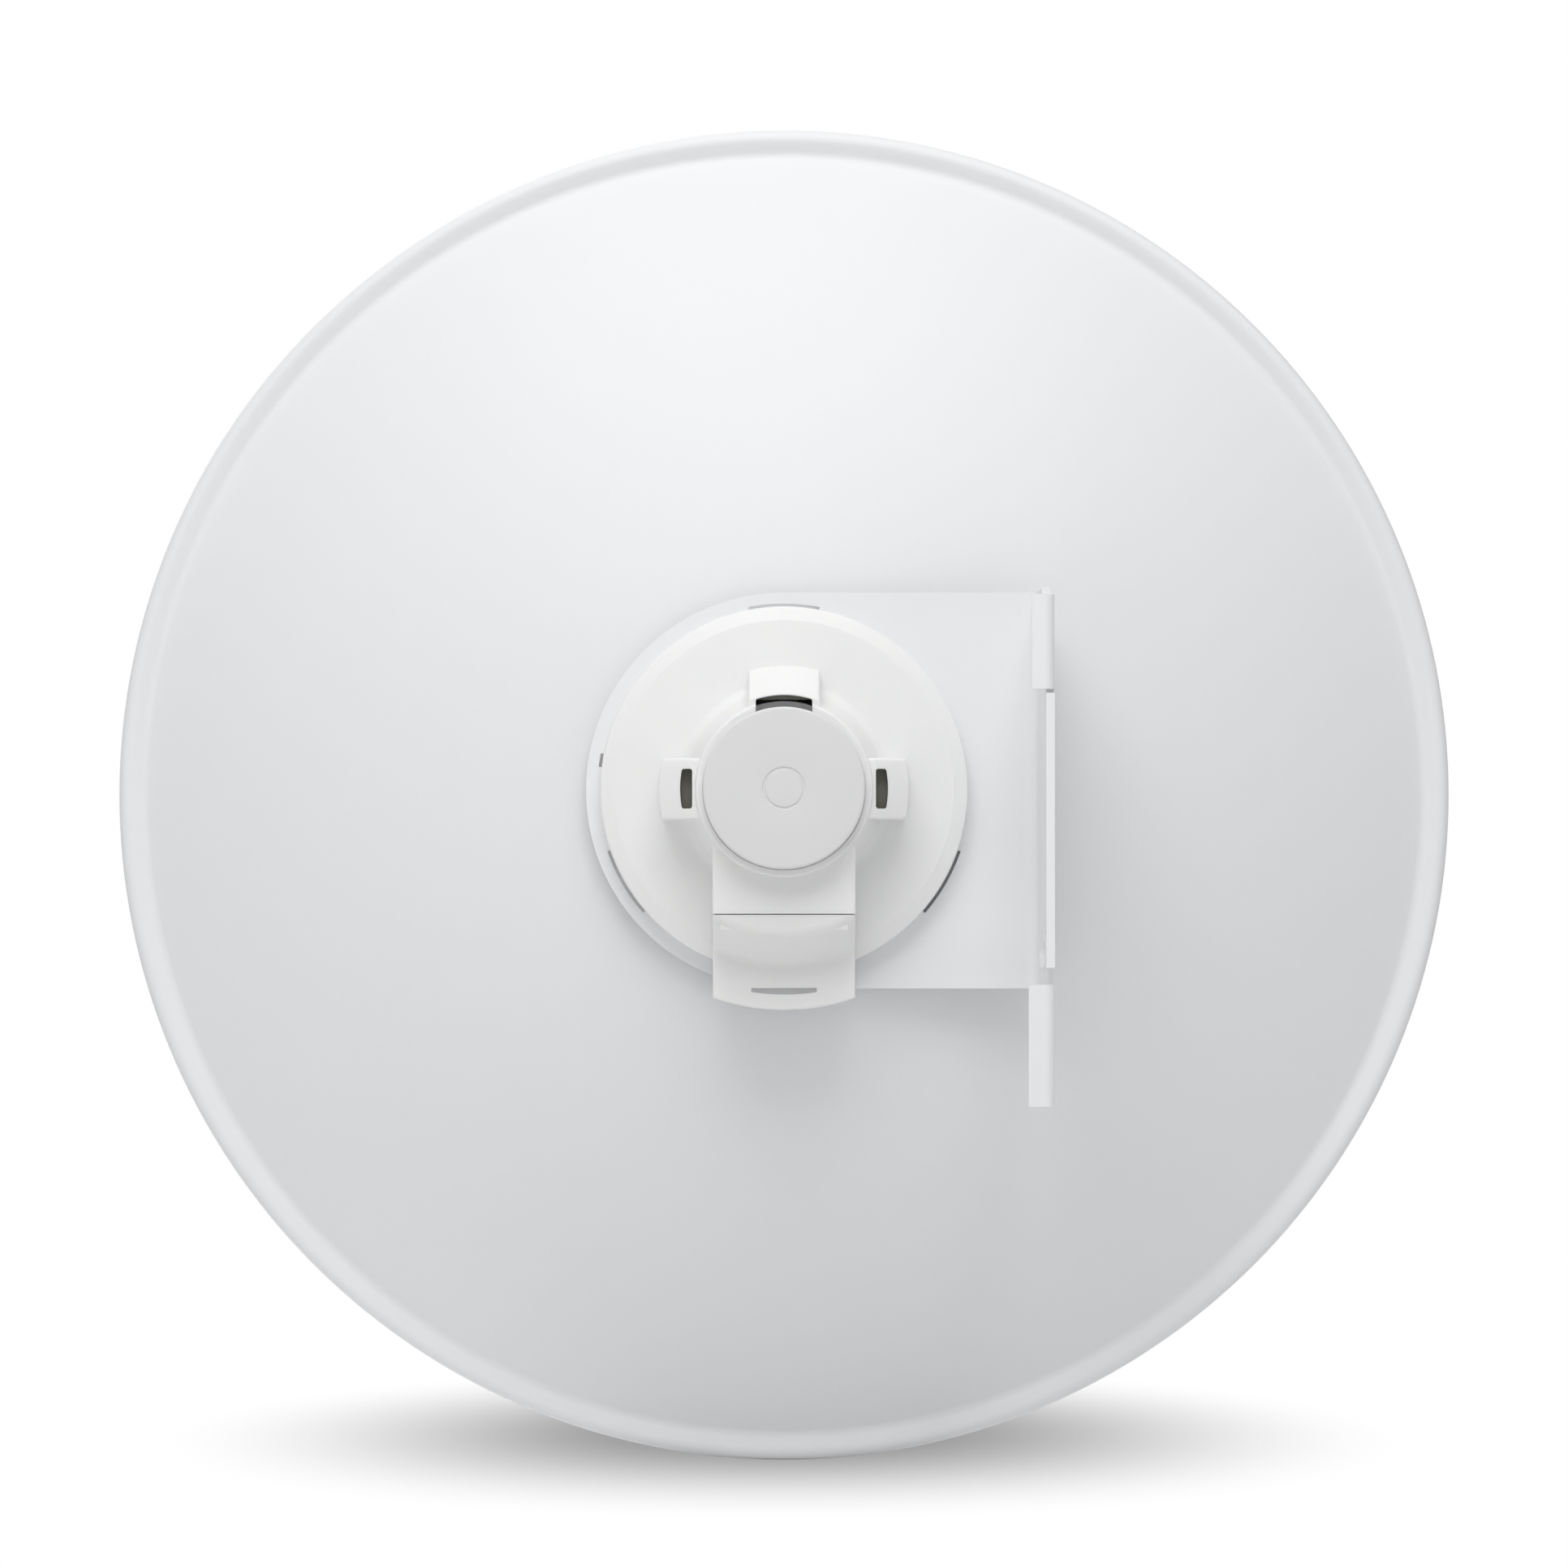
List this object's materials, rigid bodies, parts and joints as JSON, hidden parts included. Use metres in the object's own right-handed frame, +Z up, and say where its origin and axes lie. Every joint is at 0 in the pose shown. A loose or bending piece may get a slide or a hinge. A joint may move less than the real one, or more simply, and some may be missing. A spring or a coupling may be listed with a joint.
{
  "type": "outdoor wireless bridge",
  "caption": "Dish-antenna outdoor radio bridge: parabolic reflector, pull-out radio feed in a rear housing with cable port cover, and an L-shaped pole-mount bracket.",
  "frame": {"origin": "centre of the elevation pivot hole on the outer face of the bracket's leg", "axes": "-Y is the way the antenna looks (boresight), +Z up, -X out of the leg's outer face towards the pole clamp"},
  "size_m": [0.42, 0.264, 0.42],
  "materials": {
    "reflector_paint": "satin powder coat",
    "bracket_paint": "satin powder coat",
    "housing_plastic": "fine moulded texture, UV-stabilised",
    "cover_plastic": "fine moulded texture, UV-stabilised",
    "cap_plastic": "fine moulded texture, UV-stabilised",
    "feed_plastic": "smooth satin moulding",
    "latch_plastic": "satin moulding",
    "seal_rubber": "matt silicone",
    "stainless_steel": "turned and cold-headed",
    "splash_aluminium": "mill finish",
    "circuit_board": "green solder mask",
    "tray_plastic": "black moulding",
    "tinned_steel": "bright tin plate",
    "thermal_silicone": "soft grey-blue pad",
    "jack_plastic": "black moulding",
    "clear_plastic": "clear polished"
  },
  "bodies": {
    "antenna": {"reflector": "reflector_paint", "mount_bracket": "bracket_paint", "rear_housing": "housing_plastic", "reflector_bolts": "stainless_steel", "reflector_washers": "stainless_steel", "reflector_nuts": "stainless_steel"},
    "port_cover": {"port_cover": "cover_plastic"},
    "feed": {"feed_tube": "feed_plastic", "tail_cap": "cap_plastic", "tail_seal": "seal_rubber", "feed_tip": "feed_plastic", "tip_seal": "seal_rubber", "sub_reflector": "splash_aluminium", "feed_antenna": "circuit_board", "radio_board": "circuit_board", "board_tray": "tray_plastic", "board_screws": "stainless_steel", "rf_shield": "tinned_steel", "thermal_pad": "thermal_silicone", "heat_spreader": "splash_aluminium", "lan_jack": "jack_plastic", "reset_switch": "jack_plastic", "status_light_pipes": "clear_plastic"},
    "latch_top": {"feed_latch_top": "latch_plastic"},
    "latch_left": {"feed_latch_left": "latch_plastic"},
    "latch_right": {"feed_latch_right": "latch_plastic"},
    "reset_button": {"reset_button": "jack_plastic"}
  },
  "joints": [
    {"name": "port_cover_slide", "type": "slide", "parent": "antenna", "child": "port_cover", "axis": [0, 0, -1], "range_m": [0, 0.05]},
    {"name": "feed_slide", "type": "slide", "parent": "antenna", "child": "feed", "axis": [0, -1, 0], "range_m": [0, 0.21], "deforming": ["feed_latch_top", "feed_latch_left", "feed_latch_right"]},
    {"name": "latch_top_flex", "type": "hinge", "parent": "feed", "child": "latch_top", "pos_m": [0.08, -0.0336, -0.0156], "axis": [1, 0, 0], "range_deg": [-6, 0], "stiffness_Nm_per_rad": 1.5},
    {"name": "latch_left_flex", "type": "hinge", "parent": "feed", "child": "latch_left", "pos_m": [0.1024, -0.0336, -0.038], "axis": [0, 0, -1], "range_deg": [-6, 0], "stiffness_Nm_per_rad": 1.5},
    {"name": "latch_right_flex", "type": "hinge", "parent": "feed", "child": "latch_right", "pos_m": [0.0576, -0.0336, -0.038], "axis": [0, 0, 1], "range_deg": [-6, 0], "stiffness_Nm_per_rad": 1.5},
    {"name": "reset_button_press", "type": "slide", "parent": "feed", "child": "reset_button", "axis": [0, 0, 1], "range_m": [0, 0.0006], "stiffness_N_per_m": 800}
  ]
}
